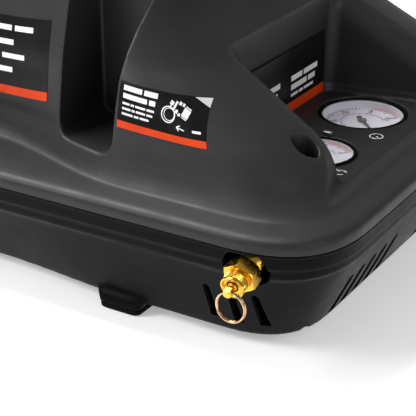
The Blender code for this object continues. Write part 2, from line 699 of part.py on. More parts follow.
def make_screws(finishes):
    profile = [(0, 3), (3.6, 3), (4, 2.2), (4, 0), (SCREW_SHANK, 0), (SCREW_SHANK, -34), (0, -36)]
    for sign_x, sign_y in corners():
        seat = screw_place(sign_x, sign_y, WELL_FLOOR + GAP)
        turned(f"cover_screw_{corner_name(sign_x, sign_y)}", profile, seat, "Z", finishes["steel"], 16)


def stand_on_feet():
    """Hangs everything from one empty, raised so that the feet rest on z = 0."""
    datum = bpy.data.objects.new("compressor_datum", None)
    GROUP.objects.link(datum)
    datum.location.z = FOOT_DROP * MM
    for item in [*GROUP.objects, *CUTTERS.objects]:
        if item is not datum and item.parent is None:
            item.parent = datum


def main():
    global GROUP, CUTTERS
    clear_scene()
    GROUP = new_collection("air_compressor")
    CUTTERS = new_collection("cutters")
    finishes = make_materials()
    make_lower_shell(finishes)
    make_top_cover(finishes)
    make_handle(finishes)
    make_feet(finishes)
    make_tank(finishes)
    make_saddles(finishes)
    make_console_label(finishes)
    make_motor(finishes)
    make_fan(finishes)
    make_pump(finishes)
    make_pipework(finishes)
    for which in GAUGES:
        make_gauge(which, finishes)
    make_safety_valve(finishes)
    make_outlets(finishes)
    make_switch(finishes)
    make_drain(finishes)
    make_screws(finishes)
    stand_on_feet()
    bpy.context.view_layer.update()


main()
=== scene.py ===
"""The looks of a shrouded air compressor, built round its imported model.

Dimensions are in mm and become metres where meshes are made. Heights are counted from the datum plane
that the shells are dimensioned from, which stands FOOT_DROP above the floor.
"""
import math

import bmesh
import bpy
from mathutils import Matrix, Vector
from mathutils.bvhtree import BVHTree


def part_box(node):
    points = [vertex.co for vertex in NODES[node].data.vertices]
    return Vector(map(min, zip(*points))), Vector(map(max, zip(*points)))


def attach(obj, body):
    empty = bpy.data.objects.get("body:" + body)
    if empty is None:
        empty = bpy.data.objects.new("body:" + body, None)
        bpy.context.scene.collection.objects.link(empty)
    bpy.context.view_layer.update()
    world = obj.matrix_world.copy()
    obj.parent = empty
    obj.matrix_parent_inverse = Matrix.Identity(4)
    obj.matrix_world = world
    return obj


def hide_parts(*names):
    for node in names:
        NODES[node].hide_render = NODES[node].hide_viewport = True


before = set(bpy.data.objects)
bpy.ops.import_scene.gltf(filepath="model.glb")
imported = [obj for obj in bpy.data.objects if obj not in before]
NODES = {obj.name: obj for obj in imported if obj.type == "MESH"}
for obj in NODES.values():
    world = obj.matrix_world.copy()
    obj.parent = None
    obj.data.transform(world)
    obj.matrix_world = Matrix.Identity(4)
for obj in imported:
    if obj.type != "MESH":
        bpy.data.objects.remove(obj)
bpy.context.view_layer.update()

MM = 0.001
FOOT_DROP = 4.5
TO_WORLD = Matrix.Scale(MM, 4) @ Matrix.Translation((0, 0, FOOT_DROP))
VOXEL = 1.1

CORNER_POWER = 2.75  # 2 draws a quarter circle, and more draws a fuller corner
WAIST_REACH = 110
SKIRT = (235, 157, 60)  # Half length, half width and corner radius where the shells are widest
SEAM = 68
WALL = 2.3
COVER_SOFTNESS = 2.6
SHELL_SOFTNESS = 1.6
KEPT_FACES = 0.45  # The share of faces that thinning leaves

# Gauge console
PANEL = 76.5
LIP_TOP = 80
LIP_X = 208.5
BAY_BACK = 130.5
BAY_HALF = 54.5
BAY_SPREAD = 0.187
BAY_LEAN = 0.12
BAY_REACH = 250
BAY_RISE = 70
BAY_CORNER = 7
TRAY_STEP = 0.8
ARM_ROLL = 14
NOSE_X = 184
NOSE_RADIUS = 24

# Gauges. The scale starts at the rest stop and runs clockwise, in degrees
SCALE_START = -45
SCALE_SWEEP = 270
SCALE_MARKS = 50
ARC_MARKS = 14
GAUGES = {
    "tank": {"at": (168, 31), "hole": 27.2, "dial": 24.3, "dial_top": 70.1, "rim": 76,
             "numbers": (0, 40, 80, 120, 160, 200)},
    "outlet": {"at": (172.9, -38.7), "hole": 22.3, "dial": 20, "dial_top": 73.8, "rim": 77.2,
               "numbers": (0, 3, 6, 9, 12, 15)},
}

# Recesses, screw wells, slots and feet, at both ends and on both sides
RECESS_AT = (74, 157.5)
RECESS_HALF = (21, 67.5)
RECESS_CORNER = 10
RECESS_REACH = (78, 180)
SCREW_AT = (191, 91)
WELL_FLOOR = 86
WELL_RADIUS = 7.3
SHANK_RADIUS = 2.6
SIDE_SLOTS = (162, 176.5, 190.5)
END_SLOTS = (29, 43.5, 58, 72.5, 87)
FOOT_AT = (98, 121)
FOOT_CORNER = 5

# Labels, each with its width and height
FRONT_LABEL = (57, 25)
COLUMN_LABEL = (84, 45)
CONSOLE_LABEL = (98, 40)
FILM_LIFT = 0.15
STRIPE_LIFT = 0.24
INK_LIFT = 0.3
INK_DEPTH = 0.06

VALVE_AXIS = (Matrix.Translation((191, -150, 57)) @ Matrix.Rotation(math.radians(16), 4, "X")
              @ Matrix.Rotation(math.radians(90), 4, "X"))
EYE = 20.4
RING_RADIUS = 8.2
RING_WIRE = 0.56
RING_TURNS = 1.96

# Rear fittings
OUTLET_HEIGHT = 42
REGULATOR_X = 170
COUPLER_X = 122
COUPLER_BASE = 100
SWITCH_X = -120
GLAND_X = -170
DRAIN_X = -60

CRISP_LEVELS = 9  # The cover's lowest levels, which stay straight between one another

# Height, half length, half width, corner radius and waist depth of each level
COVER_LEVELS = [
    (60, *SKIRT, 0), (68.3, *SKIRT, 0), (72, 234.8, 156.8, 60, 0), (74.4, 233.9, 155.9, 59, 0),
    (75.7, 231.8, 153.6, 58, 0), (76.3, 229.5, 151, 56, 2), (77.1, 225.5, 146.4, 53, 11),
    (77.9, 221, 141.5, 50, 22), (78.4, 219.8, 140.4, 49.5, 23), (80.2, 216, 138.8, 49, 23.8),
    (84, 210.3, 136.6, 50, 23.5),
    (88, 206.6, 134.8, 52, 23), (94, 203.2, 132.6, 55, 22), (101, 196, 131, 58, 20),
    (108, 186, 129.5, 62, 19), (115, 174, 127.8, 64, 18), (122, 162, 126, 66, 17),
    (131, 146, 123.6, 67, 15), (140, 131, 121, 68, 14), (160, 108, 114, 66, 11), (177, 99, 107.8, 62, 8),
    (195, 95, 101, 60, 6), (215, 91.5, 94, 58, 3), (235, 88, 87, 56, 1), (248, 84, 81.6, 53, 0),
    (258, 79, 76, 50, 0), (265, 71, 67, 45, 0), (269, 60, 56, 38, 0), (270, 44, 40, 30, 0),
]
SHELL_LEVELS = [
    (2, 203.5, 125.5, 46, 8), (3.2, 206, 128, 47, 7.4), (6, 208, 130, 47, 7), (28, 218.5, 140.5, 52, 4),
    (47, 227, 149, 56, 1), (50, 228.6, 150.6, 57, 0), (51.4, 230, 152, 57, 0), (53, 231.6, 153.6, 58, 0),
    (57.6, 231.8, 153.8, 58, 0), (58.8, 233.6, 155.6, 59, 0), (60.5, 234.2, 156.2, 60, 0),
    (76, 234.4, 156.4, 60, 0),
]

# Height, half length and half width of each level
STUB_LEVELS = ((-0.5, 13.8, 12.8), (1.5, 14.3, 12.7), (4, 15.4, 12), (6.5, 17, 10.4), (9, 19, 8),
               (12, 20, 5.5))
PAD_LEVELS = ((-4.5, 11.8, 10.8), (-4.1, 12.6, 11.6), (-3.4, 13.3, 12.3), (-1.6, 13.5, 12.5),
              (-0.8, 13.4, 12.4))


# ---------------- shapes

def waist_share(x):
    return 0.5 + 0.5 * math.cos(math.pi * min(abs(x) / WAIST_REACH, 1.0))


def outline(half_x, half_y, radius, waist=0.0, front=22, corner=16, side=12):
    """A rounded rectangle with full corners, drawn in at the middle of its long sides."""
    radius = min(radius, 0.96 * half_x, 0.96 * half_y)
    quarter = []
    for i in range(front):
        x = (half_x - radius) * i / front
        quarter.append((x, half_y - waist * waist_share(x)))
    for i in range(corner + 1):
        turn = math.pi / 2 * (1 - i / corner)
        across = math.cos(turn) ** (2 / CORNER_POWER) if i else 0.0
        along = math.sin(turn) ** (2 / CORNER_POWER) if i < corner else 0.0
        x = half_x - radius + radius * across
        quarter.append((x, half_y - radius + radius * along - waist * waist_share(x)))
    for i in range(1, side):
        quarter.append((half_x, (half_y - radius) * (1 - i / side)))
    right = quarter + [(half_x, 0)] + [(x, -y) for x, y in reversed(quarter[1:])]
    return right + [(-x, -y) for x, y in right]


def linked(name, mesh):
    item = bpy.data.objects.new(name, mesh)
    bpy.context.scene.collection.objects.link(item)
    return item


def made_of(work, name, matrix=None):
    """An object from a bmesh that was drawn in mm."""
    mesh = bpy.data.meshes.new(name)
    work.to_mesh(mesh)
    work.free()
    mesh.transform(TO_WORLD if matrix is None else TO_WORLD @ matrix)
    return linked(name, mesh)


def loft(name, rings, matrix=None):
    """A closed solid through rings of equal length."""
    work = bmesh.new()
    rows = [[work.verts.new(point) for point in ring] for ring in rings]
    count = len(rows[0])
    for lower, upper in zip(rows, rows[1:]):
        for i in range(count):
            j = (i + 1) % count
            work.faces.new((lower[i], lower[j], upper[j], upper[i]))
    work.faces.new(list(reversed(rows[0])))
    work.faces.new(rows[-1])
    bmesh.ops.recalc_face_normals(work, faces=work.faces)
    return made_of(work, name, matrix)


def between(points, at):
    """The value at a position, on straight lines through (position, value) points in rising order."""
    if at <= points[0][0]:
        return points[0][1]
    for (x0, y0), (x1, y1) in zip(points, points[1:]):
        if at <= x1:
            return y0 + (y1 - y0) * (at - x0) / (x1 - x0)
    return points[-1][1]


def finer(levels, share):
    """More levels between the given ones, on a smooth curve."""
    result = []
    for i in range(len(levels) - 1):
        before = levels[max(i - 1, 0)]
        after = levels[min(i + 2, len(levels) - 1)]
        for k in range(share):
            row = zip(before, levels[i], levels[i + 1], after)
            result.append(tuple(catmull(p, q, r, s, k / share) for p, q, r, s in row))
    result.append(levels[-1])
    return result


def catmull(p, q, r, s, t):
    """A point between q and r, on the smooth curve through all four."""
    square, cube = 2 * p - 5 * q + 4 * r - s, 3 * q - p - 3 * r + s
    return 0.5 * (2 * q + (r - p) * t + square * t ** 2 + cube * t ** 3)


def body_of(name, levels):
    rings = []
    for height, half_x, half_y, radius, waist in levels:
        rings.append([(x, y, height) for x, y in outline(half_x, half_y, radius, waist)])
    return loft(name, rings)


def drop(*items):
    for item in items:
        bpy.data.objects.remove(item)


def baked(item):
    """A new mesh of the item as its modifiers leave it."""
    bpy.context.view_layer.update()
    graph = bpy.context.evaluated_depsgraph_get()
    return bpy.data.meshes.new_from_object(item.evaluated_get(graph))


def applied(item):
    """Bakes the item's modifiers into its mesh."""
    mesh = baked(item)
    item.modifiers.clear()
    item.data = mesh


def boolean(item, others, operation="DIFFERENCE", solver="EXACT"):
    for other in others:
        step = item.modifiers.new(other.name, "BOOLEAN")
        step.operation = operation
        step.object = other
        step.solver = solver
    applied(item)
    drop(*others)
    return item


def softened(item, softness):
    """Remeshes a solid evenly and rounds its edges, as a moulding's are."""
    step = item.modifiers.new("Voxels", "REMESH")
    step.mode = "VOXEL"
    step.voxel_size = VOXEL * MM
    step = item.modifiers.new("Soften", "SMOOTH")
    step.factor = 0.5
    step.iterations = max(1, round(softness / VOXEL ** 2))
    applied(item)


def keep_side(item, height, above):
    """Cuts the item flat at a height and leaves it open there."""
    work = bmesh.new()
    work.from_mesh(item.data)
    everything = work.verts[:] + work.edges[:] + work.faces[:]
    plane = TO_WORLD @ Vector((0, 0, height))
    bmesh.ops.bisect_plane(work, geom=everything, plane_co=plane, plane_no=(0, 0, 1), clear_inner=above,
                           clear_outer=not above)
    work.to_mesh(item.data)
    work.free()


def thinned(item):
    step = item.modifiers.new("Thin", "DECIMATE")
    step.ratio = KEPT_FACES
    applied(item)


def walled(item):
    step = item.modifiers.new("Wall", "SOLIDIFY")
    step.thickness = WALL * MM
    step.offset = -1
    applied(item)


def smooth(item, angle=40):
    item.data.shade_smooth()
    item.data.set_sharp_from_angle(angle=math.radians(angle))
    return item


def rod(name, radius, start, length, matrix=None, sides=48):
    """A cylinder along Z from its start, placed by an optional matrix."""
    work = bmesh.new()
    bmesh.ops.create_cone(work, cap_ends=True, segments=sides, radius1=radius, radius2=radius, depth=length)
    bmesh.ops.translate(work, vec=Vector(start) + Vector((0, 0, length / 2)), verts=work.verts)
    return smooth(made_of(work, name, matrix))


def block(name, middle, size, bevel=0.0, matrix=None):
    work = bmesh.new()
    bmesh.ops.create_cube(work, size=1.0)
    bmesh.ops.scale(work, vec=size, verts=work.verts)
    if bevel:
        bmesh.ops.bevel(work, geom=work.edges[:], offset=bevel, segments=3, profile=0.5, affect="EDGES")
    bmesh.ops.translate(work, vec=middle, verts=work.verts)
    return smooth(made_of(work, name, matrix))


def turned(name, profile, matrix=None, steps=64, teeth=0, depth=0.0):
    """A turned solid from (radius, height) points, with optional teeth round its widest part."""
    widest = max(radius for radius, _ in profile)
    rows = []
    for radius, height in profile:
        row = []
        for i in range(steps):
            turn = math.tau * i / steps
            bite = depth * (0.5 + 0.5 * math.cos(teeth * turn)) if teeth and radius > widest - 0.5 else 0.0
            row.append(((radius - bite) * math.cos(turn), (radius - bite) * math.sin(turn), height))
        rows.append(row)
    work = bmesh.new()
    verts = [[work.verts.new(point) for point in row] for row in rows]
    for upper, lower in zip(verts, verts[1:]):
        for i in range(steps):
            j = (i + 1) % steps
            work.faces.new((lower[i], lower[j], upper[j], upper[i]))
    bmesh.ops.remove_doubles(work, verts=work.verts, dist=0.00001)
    bmesh.ops.recalc_face_normals(work, faces=work.faces)
    return smooth(made_of(work, name, matrix), 35)


def rounded(profile, radius=0.5, steps=3):
    """A profile with small curves for corners, except at its two ends."""
    points = [Vector(point) for point in profile]
    result = [tuple(points[0])]
    for before, here, after in zip(points, points[1:], points[2:]):
        near = min(radius, (before - here).length * 0.45, (after - here).length * 0.45)
        start = here + (before - here).normalized() * near
        end = here + (after - here).normalized() * near
        for i in range(steps + 1):
            t = i / steps
            result.append(tuple(start.lerp(here, t).lerp(here.lerp(end, t), t)))
    result.append(tuple(points[-1]))
    return result


def merged(name, items):
    """One mesh object out of several."""
    work = bmesh.new()
    for item in items:
        work.from_mesh(item.data)
    mesh = bpy.data.meshes.new(name)
    work.to_mesh(mesh)
    work.free()
    drop(*items)
    return linked(name, mesh)


def wire(name, points, radius, closed=False, swell=None):
    """A round wire or tube along points. Swell is its radius at each point, as a share."""
    curve = bpy.data.curves.new(name, "CURVE")
    curve.dimensions = "3D"
    curve.bevel_depth = radius * MM
    curve.bevel_resolution = 6
    curve.use_fill_caps = not closed
    spline = curve.splines.new("POLY")
    spline.points.add(len(points) - 1)
    spline.use_cyclic_u = closed
    for i, (slot, point) in enumerate(zip(spline.points, points)):
        slot.co = (*(TO_WORLD @ Vector(point)), 1)
        slot.radius = swell[i] if swell else 1.0
    holder = bpy.data.objects.new(name + "_path", curve)
    bpy.context.scene.collection.objects.link(holder)
    item = linked(name, baked(holder))
    drop(holder)
    item.data.shade_smooth()
    return item


def finished(item, finish, body="frame", nodes=()):
    """Gives a piece its material, its body and the CAD nodes it stands for."""
    item.data.materials.clear()
    item.data.materials.append(FINISH[finish])
    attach(item, body)
    if nodes:
        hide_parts(*nodes)


def facing(x, y, z, axis):
    """A frame at a point whose Z axis looks along Y or X."""
    if axis == "Y":
        turn = Matrix.Rotation(math.radians(-90), 4, "X")
    else:
        turn = Matrix.Rotation(math.radians(90), 4, "Y")
    return Matrix.Translation((x, y, z)) @ turn


# ---------------- materials

class Finish:
    """A procedural material around one Principled shader."""

    def __init__(self, name, roughness, metallic=0.0, **constants):
        self.material = bpy.data.materials.new(name)
        self.material.use_nodes = True
        self.tree = self.material.node_tree
        self.shader = self.tree.nodes["Principled BSDF"]
        self.shader.inputs["Metallic"].default_value = metallic
        self.shader.inputs["Roughness"].default_value = roughness
        for key, value in constants.items():
            self.shader.inputs[key.replace("_", " ").title().replace("Ior", "IOR")].default_value = value
        self.place = self.tree.nodes.new("ShaderNodeTexCoord").outputs["Object"]

    def noise(self, scale, detail=3.0):
        node = self.tree.nodes.new("ShaderNodeTexNoise")
        node.inputs["Scale"].default_value = scale
        node.inputs["Detail"].default_value = detail
        self.tree.links.new(self.place, node.inputs["Vector"])
        return node.outputs["Fac"]

    def span(self, factor, low, high, start=0.3, end=0.7):
        """Spreads a factor between start and end over the values from low to high."""
        node = self.tree.nodes.new("ShaderNodeMapRange")
        for key, value in (("From Min", start), ("From Max", end), ("To Min", low), ("To Max", high)):
            node.inputs[key].default_value = value
        self.tree.links.new(factor, node.inputs["Value"])
        return node.outputs["Result"]

    def blend(self, factor, first, second):
        """Mixes two colours, each a tuple or the output of another node."""
        node = self.tree.nodes.new("ShaderNodeMix")
        node.data_type = "RGBA"
        self.tree.links.new(factor, node.inputs["Factor"])
        for socket, value in ((node.inputs[6], first), (node.inputs[7], second)):
            if isinstance(value, tuple):
                socket.default_value = (*value, 1.0)
            else:
                self.tree.links.new(value, socket)
        return node.outputs[2]

    def colour(self, source):
        self.tree.links.new(source, self.shader.inputs["Base Color"])

    def rough(self, source):
        self.tree.links.new(source, self.shader.inputs["Roughness"])

    def bump(self, height, strength, distance):
        node = self.tree.nodes.new("ShaderNodeBump")
        node.inputs["Strength"].default_value = strength
        node.inputs["Distance"].default_value = distance
        self.tree.links.new(height, node.inputs["Height"])
        self.tree.links.new(node.outputs["Normal"], self.shader.inputs["Normal"])

    def edges(self):
        """How far the surface bends outwards, for a painted highlight along edges."""
        node = self.tree.nodes.new("ShaderNodeNewGeometry")
        return self.span(node.outputs["Pointiness"], 0.0, 1.0, start=0.52, end=0.6)


def moulded(name, dark, light, roughness, grain=1500.0, depth=0.35, edge_highlight=None, shine=0.5):
    """Moulded plastic with a fine even grain, slight clouding and, where given, a painted highlight that
    makes its edges paler.
    """
    made = Finish(name, roughness, specular_ior_level=shine)
    clouds = made.span(made.noise(22.0, 4.0), 0.0, 1.0)
    surface = made.blend(clouds, dark, light)
    # The paler colour on outward edges is a painted highlight.
    if edge_highlight:
        surface = made.blend(made.edges(), surface, edge_highlight)
    made.colour(surface)
    made.rough(made.span(made.noise(60.0, 5.0), roughness - 0.05, roughness + 0.06))
    made.bump(made.noise(grain, 2.0), depth, 0.00012)
    return made.material


def machined(name, dark, light, roughness, depth=0.2):
    """Bare metal with tool marks and uneven dullness."""
    made = Finish(name, roughness, 1.0)
    made.colour(made.blend(made.span(made.noise(260.0, 5.0), 0.0, 1.0), dark, light))
    made.rough(made.span(made.noise(420.0, 3.0), roughness - 0.07, roughness + 0.12))
    made.bump(made.noise(900.0, 2.0), depth, 0.00008)
    return made.material


def printed(name, dark, light, roughness, shine=0.4):
    """Printed film or paint, faintly mottled."""
    made = Finish(name, roughness, specular_ior_level=shine)
    made.colour(made.blend(made.span(made.noise(90.0, 3.0), 0.0, 1.0), dark, light))
    made.rough(made.span(made.noise(240.0, 3.0), roughness - 0.04, roughness + 0.06))
    made.bump(made.noise(700.0, 2.0), 0.06, 0.00005)
    return made.material


def clear_lens(name):
    made = Finish(name, 0.04, alpha=0.05)
    made.colour(made.blend(made.span(made.noise(40.0), 0.0, 1.0), (0.9, 0.93, 0.95), (0.97, 0.98, 1.0)))
    made.rough(made.span(made.noise(200.0, 3.0), 0.02, 0.06))
    return made.material


FINISH = {
    # For the cover and the shell, the paler colour given last is a painted highlight along their edges.
    "cover": moulded("cover_texture", (0.0125, 0.0125, 0.013), (0.017, 0.017, 0.0177), 0.44, 1400.0, 0.5,
                     (0.034, 0.034, 0.035), 0.24),
    "shell": moulded("shell_black", (0.0016, 0.0016, 0.0017), (0.0028, 0.0028, 0.003), 0.34, 1100.0, 0.25,
                     (0.016, 0.016, 0.0165), 0.045),
    "rubber": moulded("foot_rubber", (0.003, 0.003, 0.003), (0.006, 0.006, 0.006), 0.8, 900.0, 0.6,
                      shine=0.06),
    "brass": machined("valve_brass", (0.62, 0.36, 0.04), (0.76, 0.47, 0.07), 0.2, 0.06),
    "steel": machined("zinc_steel", (0.42, 0.42, 0.43), (0.62, 0.62, 0.63), 0.32),
    "dark_steel": machined("black_oxide", (0.03, 0.03, 0.032), (0.06, 0.06, 0.062), 0.4),
    "ring": machined("ring_wire", (0.42, 0.25, 0.13), (0.62, 0.41, 0.24), 0.2, 0.06),
    "aluminium": machined("cast_aluminium", (0.45, 0.45, 0.46), (0.62, 0.62, 0.63), 0.45),
    "copper": machined("copper_tube", (0.62, 0.3, 0.17), (0.8, 0.45, 0.3), 0.28),
    "tank": printed("tank_coat", (0.02, 0.02, 0.022), (0.035, 0.035, 0.037), 0.38),
    "dial": printed("dial_card", (0.66, 0.63, 0.70), (0.74, 0.72, 0.78), 0.5),
    "ink": printed("dial_ink", (0.015, 0.015, 0.016), (0.03, 0.03, 0.032), 0.5),
    "violet": printed("dial_violet", (0.30, 0.16, 0.36), (0.36, 0.2, 0.42), 0.5),
    "red": printed("dial_red", (0.6, 0.03, 0.02), (0.72, 0.06, 0.03), 0.45),
    "film": printed("label_black", (0.003, 0.003, 0.0032), (0.005, 0.005, 0.0053), 0.33, 0.1),
    "orange": printed("label_orange", (0.48, 0.036, 0.003), (0.56, 0.046, 0.004), 0.5, 0.15),
    "white": printed("label_white", (0.6, 0.6, 0.6), (0.68, 0.68, 0.68), 0.4),
    "grey": printed("label_grey", (0.4, 0.4, 0.41), (0.46, 0.46, 0.47), 0.4),
    "knob": moulded("knob_orange", (0.6, 0.1, 0.02), (0.7, 0.14, 0.03), 0.45, 1100.0, 0.3),
    "rocker": moulded("rocker_red", (0.5, 0.02, 0.015), (0.6, 0.035, 0.02), 0.28, 900.0, 0.1),
    "lens": clear_lens("gauge_lens"),
}


# ---------------- top cover

# How high the cover stands at each x near its ends
CREST = sorted((half_x, height) for height, half_x, _, _, _ in COVER_LEVELS if height >= LIP_TOP)


def bay_side(x, height):
    """How far the bay reaches sideways. Its walls lean, roll over onto the arms and flare at the nose."""
    wall = BAY_HALF + BAY_SPREAD * (min(x, NOSE_X) - BAY_BACK) + BAY_LEAN * (height - PANEL)
    over = height - (between(CREST, x) - ARM_ROLL)
    share = min(max(over / ARM_ROLL, 0.0), 1.0)
    roll = ARM_ROLL * (1 - math.sqrt(1 - share ** 2)) + max(over - ARM_ROLL, 0.0) * 2
    past = min(max((x - NOSE_X) / NOSE_RADIUS, 0.0), 1.0)
    flare = NOSE_RADIUS * (1 - math.sqrt(1 - past ** 2)) + max(x - NOSE_X - NOSE_RADIUS, 0.0) * 2
    return wall + roll + flare


def bay_block(name, heights, reach, step):
    """The block that cuts the console, through the given heights and a step inside the bay's walls."""
    bends, straights = 8, 30
    rings = []
    for height in heights:
        upper = []
        for k in range(bends + 1):
            turn = math.pi / 2 * k / bends
            x = BAY_BACK + step + BAY_CORNER * (1 - math.cos(turn))
            upper.append((x, bay_side(x, height) - step - BAY_CORNER * (1 - math.sin(turn))))
        for k in range(1, straights + 1):
            x = BAY_BACK + step + BAY_CORNER + (reach - BAY_BACK - step - BAY_CORNER) * k / straights
            upper.append((x, bay_side(x, height) - step))
        ring = upper + [(x, -y) for x, y in reversed(upper)]
        rings.append([(x, y, height) for x, y in ring])
    return loft(name, rings)


def recess(sign_x, sign_y):
    """The deep upright recess beside the centre column."""
    flat = outline(*RECESS_HALF, RECESS_CORNER, front=2, corner=8, side=2)
    rings = []
    for y in sorted(sign_y * reach for reach in RECESS_REACH):
        rings.append([(sign_x * RECESS_AT[0] + u, y, RECESS_AT[1] + v) for u, v in flat])
    return loft("recess_cutter", rings)


def make_cover():
    """The top cover. Its outside, before it gets a wall, comes back for the labels to lie on."""
    levels = COVER_LEVELS[:CRISP_LEVELS] + finer(COVER_LEVELS[CRISP_LEVELS:], 3)
    cover = body_of("cover_skin", levels)
    rows = 40
    bay_heights = [LIP_TOP + BAY_RISE * (i / (rows - 1)) ** 1.2 for i in range(rows)]
    cutters = [bay_block("bay_cutter", bay_heights, BAY_REACH, 0),
               bay_block("tray_cutter", (PANEL, PANEL + 2, LIP_TOP + 1), LIP_X, TRAY_STEP)]
    for sign_x in (-1, 1):
        for sign_y in (-1, 1):
            cutters.append(recess(sign_x, sign_y))
            well = (sign_x * SCREW_AT[0], sign_y * SCREW_AT[1], WELL_FLOOR)
            cutters.append(rod("well_cutter", WELL_RADIUS, well, 60))
            cutters.append(rod("shank_cutter", SHANK_RADIUS, (well[0], well[1], WELL_FLOOR - 20), 24))
    for gauge in GAUGES.values():
        cutters.append(rod("gauge_hole", gauge["hole"] + 0.2, (*gauge["at"], PANEL - 30), 60))
    boolean(cover, cutters)
    softened(cover, COVER_SOFTNESS)
    keep_side(cover, SEAM + 0.3, above=True)
    thinned(cover)
    surface = BVHTree.FromObject(cover, bpy.context.evaluated_depsgraph_get())
    walled(cover)
    smooth(cover, 50)
    finished(cover, "cover", nodes=("top_cover",))
    return surface


def rim(name, height, inset, radius, finish):
    """The rounded bead that runs round a shell beside the seam."""
    flat = outline(*(size - inset for size in SKIRT))
    finished(wire(name, [(x, y, height) for x, y in flat], radius, closed=True), finish)


# ---------------- lower shell

def vent(x, y, along_x, bottom, top, half):
    """A slot through the wall that narrows towards its top."""
    low, high = half, half * 0.8
    flat = [(-low, bottom), (low, bottom), (high, top - 2)]
    flat += [(high / 2, top), (-high / 2, top), (-high, top - 2)]
    rings = []
    for reach in (-20, 20):
        if along_x:
            rings.append([(x + reach, y + u, v) for u, v in flat])
        else:
            rings.append([(x + u, y + reach, v) for u, v in flat])
    return loft("vent_cutter", rings)


def foot_block(name, sign_x, sign_y, levels):
    """A block with rounded corners that stands where one of the feet is."""
    rings = []
    for height, half_x, half_y in levels:
        flat = outline(half_x, half_y, FOOT_CORNER, front=2, corner=6, side=2)
        rings.append([(sign_x * FOOT_AT[0] + u, sign_y * FOOT_AT[1] + v, height) for u, v in flat])
    return loft(name, rings)


def corner_pad(sign_x, sign_y):
    """The slightly lower pad that follows the shell round each corner."""
    pad = body_of("pad", [(0, 201, 123, 45, 8), (0.6, 202.4, 124.4, 45, 8), (5, 205.5, 127.5, 46, 8)])
    return boolean(pad, [block("pad_part", (sign_x * 230, sign_y * 180, 0), (100, 184, 40))], "INTERSECT")


def make_shell():
    shell = body_of("shell_skin", finer(SHELL_LEVELS, 2))
    corners = [(x, y) for x in (-1, 1) for y in (-1, 1)]
    stubs = [foot_block("stub", x, y, STUB_LEVELS) for x, y in corners]
    boolean(shell, stubs + [corner_pad(x, y) for x, y in corners], "UNION")
    softened(shell, SHELL_SOFTNESS)
    keep_side(shell, SEAM - 0.2, above=False)
    thinned(shell)
    walled(shell)
    cutters = []
    for x in SIDE_SLOTS:
        cutters += [vent(x, -139, False, 11.9, 36.5, 2.8), vent(-x, -139, False, 11.9, 36.5, 2.8)]
    for y in END_SLOTS:
        for sign_x, sign_y in corners:
            cutters.append(vent(sign_x * 216, sign_y * y, True, 5.5, 32, 4.3))
    for sign_x, sign_y in corners:
        outwards = Matrix.Rotation(math.atan2(sign_y * 0.5, sign_x), 4, "Z")
        flat = Matrix.Rotation(math.radians(90), 4, "Y")
        notch = Matrix.Translation((sign_x * 194, sign_y * 103, 3)) @ (outwards @ flat)
        cutters.append(rod("notch", 3.6, (0, 0, 0), 30, notch))
    cutters.append(rod("valve_hole", 13, (0, 0, -16), 40, VALVE_AXIS))
    for x, radius in ((REGULATOR_X, 7), (COUPLER_X, 11), (GLAND_X, 8)):
        cutters.append(rod("outlet_hole", radius, (0, 0, 0), 30, facing(x, 130, OUTLET_HEIGHT, "Y")))
    cutters.append(block("switch_hole", (SWITCH_X, 147, OUTLET_HEIGHT), (28, 35, 20)))
    cutters.append(rod("drain_hole", 9, (DRAIN_X, 0, -5), 15))
    boolean(shell, cutters, solver="MANIFOLD")
    smooth(shell, 40)
    finished(shell, "shell", nodes=("lower_shell",))


def make_feet():
    for sign_x, side in ((-1, "left"), (1, "right")):
        for sign_y, end in ((-1, "front"), (1, "rear")):
            name = f"foot_{end}_{side}"
            pad = foot_block(f"{name}_pad", sign_x, sign_y, PAD_LEVELS)
            finished(smooth(pad), "rubber", nodes=(name,))


# ---------------- labels

class Print:
    """Flat artwork on a surface. Its axes run right and down in mm, and place() puts a point in the frame."""

    def __init__(self, name, place, lift):
        self.name = name
        self.place = place
        self.lift = lift
        self.work = bmesh.new()

    def face(self, *points):
        self.work.faces.new([self.work.verts.new(self.place(u, v, self.lift)) for u, v in points])

    def bar(self, left, top, right, bottom, cell=4.0):
        """A filled rectangle in cells that can follow a curved surface."""
        columns = max(1, math.ceil((right - left) / cell))
        rows = max(1, math.ceil((bottom - top) / cell))
        for i in range(columns):
            for j in range(rows):
                u0, u1 = (left + (right - left) * k / columns for k in (i, i + 1))
                v0, v1 = (top + (bottom - top) * k / rows for k in (j, j + 1))
                self.face((u0, v0), (u0, v1), (u1, v1), (u1, v0))

    def words(self, left, top, height, lengths, gap):
        """A row of short bars that stands for a line of print."""
        for length in lengths:
            self.bar(left, top, left + length, top + height)
            left += length + gap

    def ring(self, u, v, radius, width, start=0.0, sweep=360.0, steps=24):
        hole = radius - width
        for i in range(steps):
            a, b = (math.radians(start + sweep * k / steps) for k in (i, i + 1))
            outer = [(u + radius * math.cos(t), v + radius * math.sin(t)) for t in (a, b)]
            inner = [(u + hole * math.cos(t), v + hole * math.sin(t)) for t in (b, a)]
            self.face(*outer, *inner)

    def line(self, start, end, width):
        a, b = Vector(start), Vector(end)
        side = Vector((a.y - b.y, b.x - a.x)).normalized() * width / 2
        self.face(a - side, a + side, b + side, b - side)

    def done(self, finish, body="frame"):
        item = made_of(self.work, self.name)
        step = item.modifiers.new("Ink", "SOLIDIFY")
        step.thickness = INK_DEPTH * MM
        step.offset = 0
        applied(item)
        finished(item, finish, body)


def on_cover(surface, where):
    """Places artwork on the side of the cover. Where turns its own point into x and height."""
    back = TO_WORLD.inverted()

    def place(u, v, lift):
        x, height = where(u, v)
        start = TO_WORLD @ Vector((x, -230, height))
        hit, normal, _, _ = surface.ray_cast(start, Vector((0, 1, 0)))
        return back @ (hit + normal * lift * MM)
    return place


